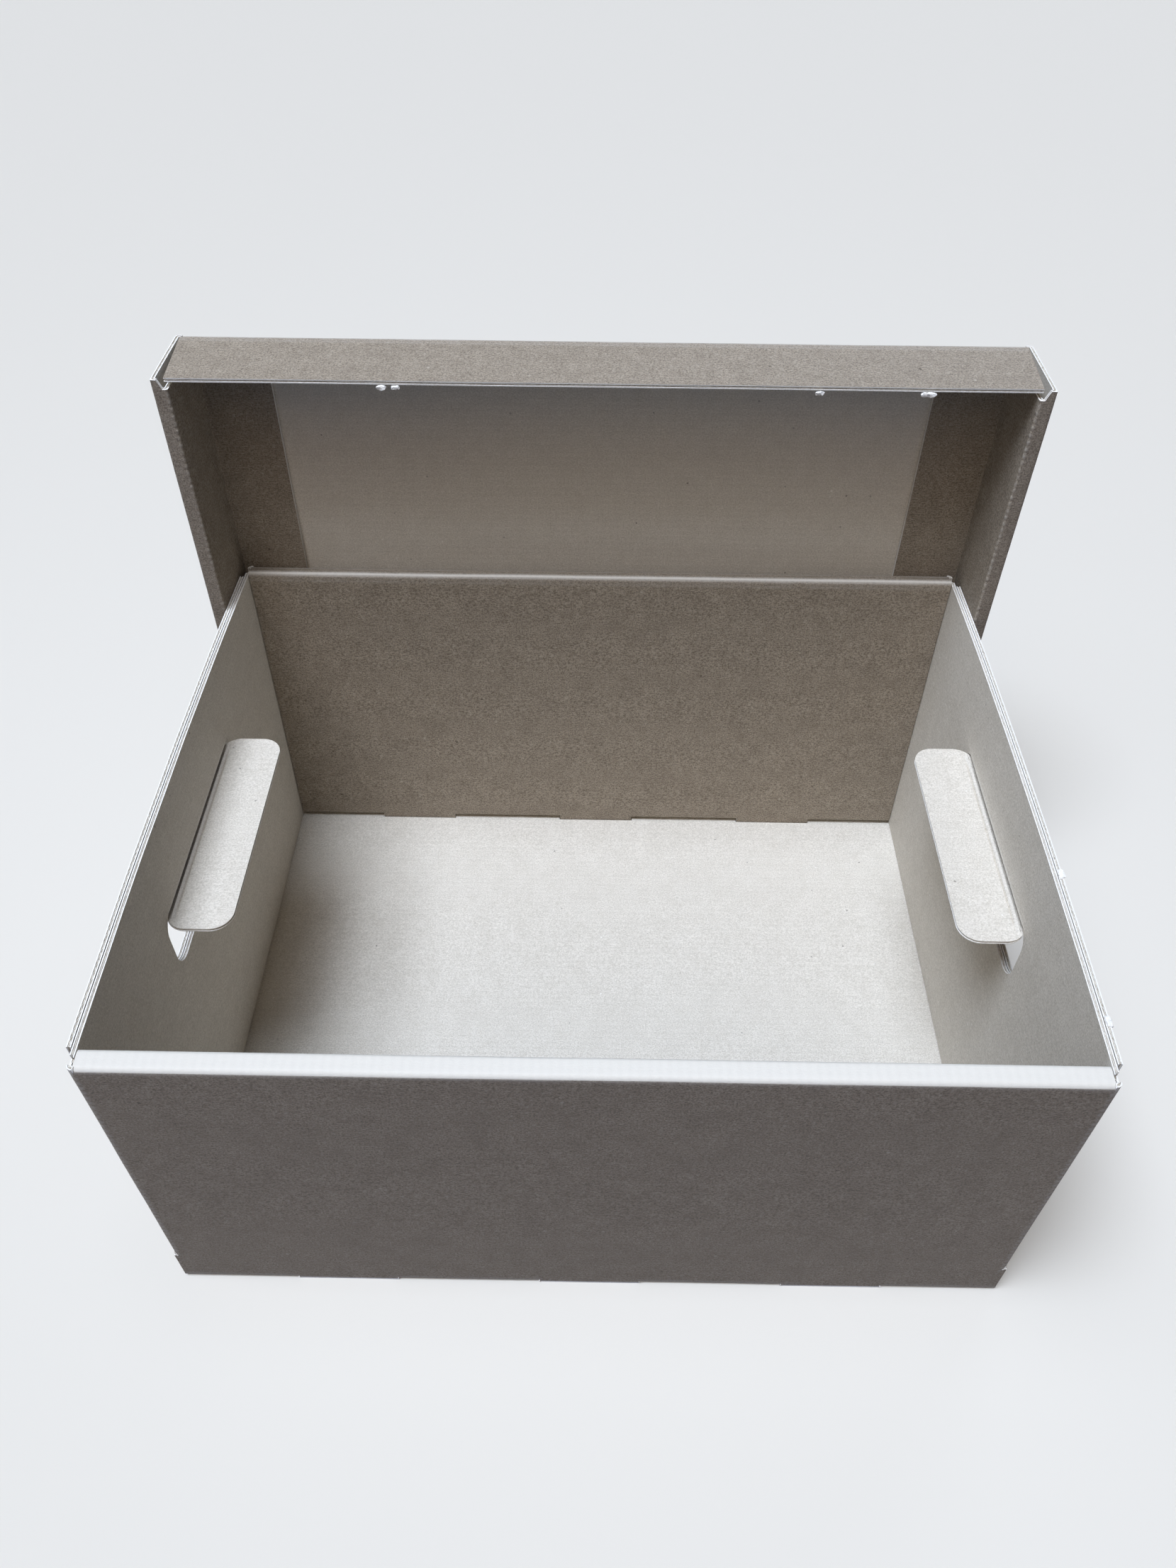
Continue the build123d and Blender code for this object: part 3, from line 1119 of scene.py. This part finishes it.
@dataclass
class TornNick:
    """A tuft of paper left where the die did not cut through. Millimetres and degrees."""

    name: str
    slot: str
    place: Vector
    size: tuple[float, float, float]
    body: str = "box"
    fray: float = 0.55
    fray_size: float = 0.9
    cuts: int = 5
    rounding: float = 0.6
    smooth_angle: float = 35.0

    def build(self) -> bpy.types.Object:
        """Make the tuft from a small block, frayed.

        Returns:
            The finished piece.
        """
        bpy.ops.object.select_all(action="DESELECT")
        bpy.ops.mesh.primitive_cube_add(size=1)
        tuft = bpy.context.view_layer.objects.active
        tuft.name = self.name
        bpy.ops.object.mode_set(mode="EDIT")
        bpy.ops.mesh.select_all(action="SELECT")
        bpy.ops.mesh.subdivide(number_cuts=self.cuts, smoothness=self.rounding)
        bpy.ops.object.mode_set(mode="OBJECT")
        for vertex in tuft.data.vertices:
            spot = Vector([c * size for c, size in zip(vertex.co, self.size)])
            fray = noise.noise_vector((spot + self.place) / self.fray_size) * self.fray
            vertex.co = (self.place + spot + fray) * MM
        tuft.data.update()
        bpy.ops.object.shade_smooth_by_angle(angle=math.radians(self.smooth_angle))
        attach(tuft, self.body)
        return tuft


@dataclass
class Studio:
    """Pale floor, soft light from above, a low fill from behind and the photograph's camera.

    Millimetres and degrees.
    """

    floor_size: float = 16000.0
    floor_drop: float = 0.3
    pale_floor: str = "#E2DCD1"
    dull_floor: str = "#37486A"
    eye: tuple[float, float, float] = (-0.953, -359.225, 530.957)
    yaw: float = 0.452
    elevation: float = 45.393
    roll: float = 0.531
    focal: float = 1666.0
    sensor: float = 36.0
    near_clip: float = 10.0
    key_way: tuple[float, float, float] = (-0.24, -0.20, 0.95)
    key_spread: float = 28.0
    key_level: float = 1.15
    fill_way: tuple[float, float, float] = (-0.08, -0.68, 0.73)
    fill_spread: float = 40.0
    fill_level: float = 0.155
    rear_way: tuple[float, float, float] = (0.42, 0.90, 0.12)
    rear_spread: float = 40.0
    rear_level: float = 0.26
    top_place: tuple[float, float, float] = (-150.0, -130.0, 950.0)
    top_aim: tuple[float, float, float] = (0.0, 140.0, 150.0)
    top_size: float = 400.0
    top_power: float = 1.6
    ambient: float = 0.02
    ambient_light: str = "#DDE4F2"
    backdrop: str = "#DDE0E4"
    daylight: str = "#E0ECFF"
    warm_light: str = "#FFE6CA"

    def build(self) -> None:
        """Set the floor, the light and the camera."""
        self.floor()
        self.light()
        self.camera()

    def seen(self, tree: bpy.types.NodeTree) -> bpy.types.NodeSocket:
        """Give an output that is 1 for rays that show the floor or the world, and 0 for those that light.

        Args:
            tree: Node tree of the floor or the world.

        Returns:
            The output.
        """
        path = add(tree, "ShaderNodeLightPath")
        seen = path.outputs["Is Camera Ray"]
        for kind in ("Is Glossy Ray", "Is Transmission Ray"):
            seen = add(tree, "ShaderNodeMath", {0: seen, 1: path.outputs[kind]}, operation="MAXIMUM").outputs[0]
        return seen

    def floor(self) -> None:
        """Lay the floor: pale to the eye, darker in the light that it throws back."""
        bpy.ops.object.select_all(action="DESELECT")
        bpy.ops.mesh.primitive_plane_add(size=self.floor_size * MM, location=(0, 0, -self.floor_drop * MM))
        floor = bpy.context.view_layer.objects.active
        floor.name = "studio_floor"
        material, tree = new_material("studio_paper")
        pale = add(tree, "ShaderNodeBsdfDiffuse", {"Color": linear(self.pale_floor)})
        dull = add(tree, "ShaderNodeBsdfDiffuse", {"Color": linear(self.dull_floor)})
        mix = add(tree, "ShaderNodeMixShader", {0: self.seen(tree), 1: dull.outputs[0], 2: pale.outputs[0]})
        add(tree, "ShaderNodeOutputMaterial", {"Surface": mix.outputs[0]})
        floor.data.materials.append(material)

    def light(self) -> None:
        """Hang the lamps and set the world."""
        self.sky("key_sky", self.key_way, self.key_spread, self.key_level, self.daylight)
        self.sky("front_fill", self.fill_way, self.fill_spread, self.fill_level, self.warm_light)
        self.sky("rear_fill", self.rear_way, self.rear_spread, self.rear_level, self.daylight)
        lamp = bpy.data.lights.new("top_panel", "AREA")
        lamp.shape = "DISK"
        lamp.size = self.top_size * MM
        lamp.energy = self.top_power
        lamp.color = linear(self.daylight)[:3]
        top = bpy.data.objects.new("top_panel", lamp)
        top.location = Vector(self.top_place) * MM
        top.rotation_euler = (Vector(self.top_place) - Vector(self.top_aim)).to_track_quat("Z", "Y").to_euler()
        bpy.context.scene.collection.objects.link(top)
        world = bpy.data.worlds.new("studio")
        world.use_nodes = True
        tree = world.node_tree
        tree.nodes.clear()
        back = add(tree, "ShaderNodeBackground", {"Color": linear(self.backdrop), "Strength": 1.0})
        soft = add(tree, "ShaderNodeBackground", {"Color": linear(self.ambient_light), "Strength": self.ambient})
        mix = add(tree, "ShaderNodeMixShader", {0: self.seen(tree), 1: soft.outputs[0], 2: back.outputs[0]})
        add(tree, "ShaderNodeOutputWorld", {"Surface": mix.outputs[0]})
        bpy.context.scene.world = world
        bpy.context.scene.view_settings.view_transform = "Standard"

    def sky(self, name: str, way: tuple[float, float, float], spread: float, level: float, colour: str) -> None:
        """Hang a broad, even light.

        Args:
            name: Name of the lamp.
            way: Direction from the box to the lamp.
            spread: Angle that the lamp fills, in degrees.
            level: Share of its full brightness that a white card facing the lamp shows.
            colour: Colour of the light.
        """
        lamp = bpy.data.lights.new(name, "SUN")
        lamp.angle = math.radians(spread)
        lamp.energy = math.pi * level
        lamp.color = linear(colour)[:3]
        sun = bpy.data.objects.new(name, lamp)
        sun.rotation_euler = Vector(way).to_track_quat("Z", "Y").to_euler()
        bpy.context.scene.collection.objects.link(sun)

    def camera(self) -> None:
        """Place the camera at the photograph's viewing angle."""
        lens = bpy.data.cameras.new("photo_view")
        lens.sensor_fit = "VERTICAL"
        lens.sensor_height = self.sensor
        lens.lens = self.focal / PHOTO_HEIGHT * lens.sensor_height
        lens.clip_start = self.near_clip * MM
        view = bpy.data.objects.new("photo_view", lens)
        turn = (
            Matrix.Rotation(math.radians(self.yaw), 4, "Z")
            @ Matrix.Rotation(math.radians(90 - self.elevation), 4, "X")
            @ Matrix.Rotation(math.radians(self.roll), 4, "Z"))
        view.matrix_world = Matrix.Translation(Vector(self.eye) * MM) @ turn
        bpy.context.scene.collection.objects.link(view)
        bpy.context.scene.camera = view


@dataclass
class ArchiveBox:
    """The whole box. Millimetres."""

    stand: Stand = field(default_factory=Stand)
    lid_nicks: tuple[tuple[float, float], ...] = ((-93.0, 3.2), (-87.0, 2.6), (91.0, 2.6), (136.5, 5.0))
    lid_edge: tuple[float, float] = (105.7, 294.5)
    lid_nick_size: tuple[float, float] = (0.9, 1.3)
    tray_nicks: tuple[float, ...] = (26.0, 94.0)
    tray_rim: tuple[float, float] = (181.6, 174.9)
    tray_nick_size: tuple[float, float, float] = (1.8, 3.4, 1.2)

    def sheets(self) -> list[BoardSheet]:
        """List the folded sheets, each with a spot on its outer liner.

        Returns:
            The sheets.
        """
        return [
            Tray("tray", "box", "tray_board", (0, -1.5, 1), (0, 0, -1), self.stand),
            Lid("lid", "box", "lid_board", (0, 148.8, 148), (0, 1, 0), self.stand),
            HandFlap("left_hand_flap", "left_flap", "flap_board", (-165, -3, 136), (0, 0, -1), self.stand),
            HandFlap("right_hand_flap", "right_flap", "flap_board", (165, -3, 136), (0, 0, -1), self.stand),
        ]

    def nicks(self) -> list[TornNick]:
        """List the tufts: four under the lid's front edge and two on the tray's right rim.

        Returns:
            The tufts.
        """
        found = [
            TornNick(f"lid_nick_{number}", "lid_board", Vector((x, *self.lid_edge)), (width, *self.lid_nick_size))
            for number, (x, width) in enumerate(self.lid_nicks, 1)]
        for number, y in enumerate(self.tray_nicks, 1):
            rim = self.stand.bow(self.stand.world(Vector((self.tray_rim[0], y, self.tray_rim[1])))) / MM
            found.append(TornNick(f"tray_nick_{number}", "tray_board", rim, self.tray_nick_size))
        return found

    def build(self) -> list[bpy.types.Object]:
        """Build and dress every sheet and tuft.

        Returns:
            The finished pieces.
        """
        finishes = [finish.make() for finish in (KRAFT, TESTLINER, CUT_EDGE, HOLLOW)]
        medium = MEDIUM.make()
        pieces: list[bpy.types.Object] = []
        for sheet in self.sheets():
            for piece in sheet.build():
                for material in [medium] if piece.name.endswith("_fluting") else finishes:
                    piece.data.materials.append(material)
                pieces.append(piece)
        for nick in self.nicks():
            pieces.append(nick.build())
            pieces[-1].data.materials.append(finishes[Side.EDGE])
        return pieces


def main() -> None:
    """Build the box and the studio."""
    logging.basicConfig(level=logging.INFO, format="%(name)s: %(message)s")
    noise.seed_set(NOISE_SEED)
    for piece in ArchiveBox().build():
        LOG.info("%s: %d faces", piece.name, len(piece.data.polygons))
    Studio().build()


if __name__ == "__main__":
    main()
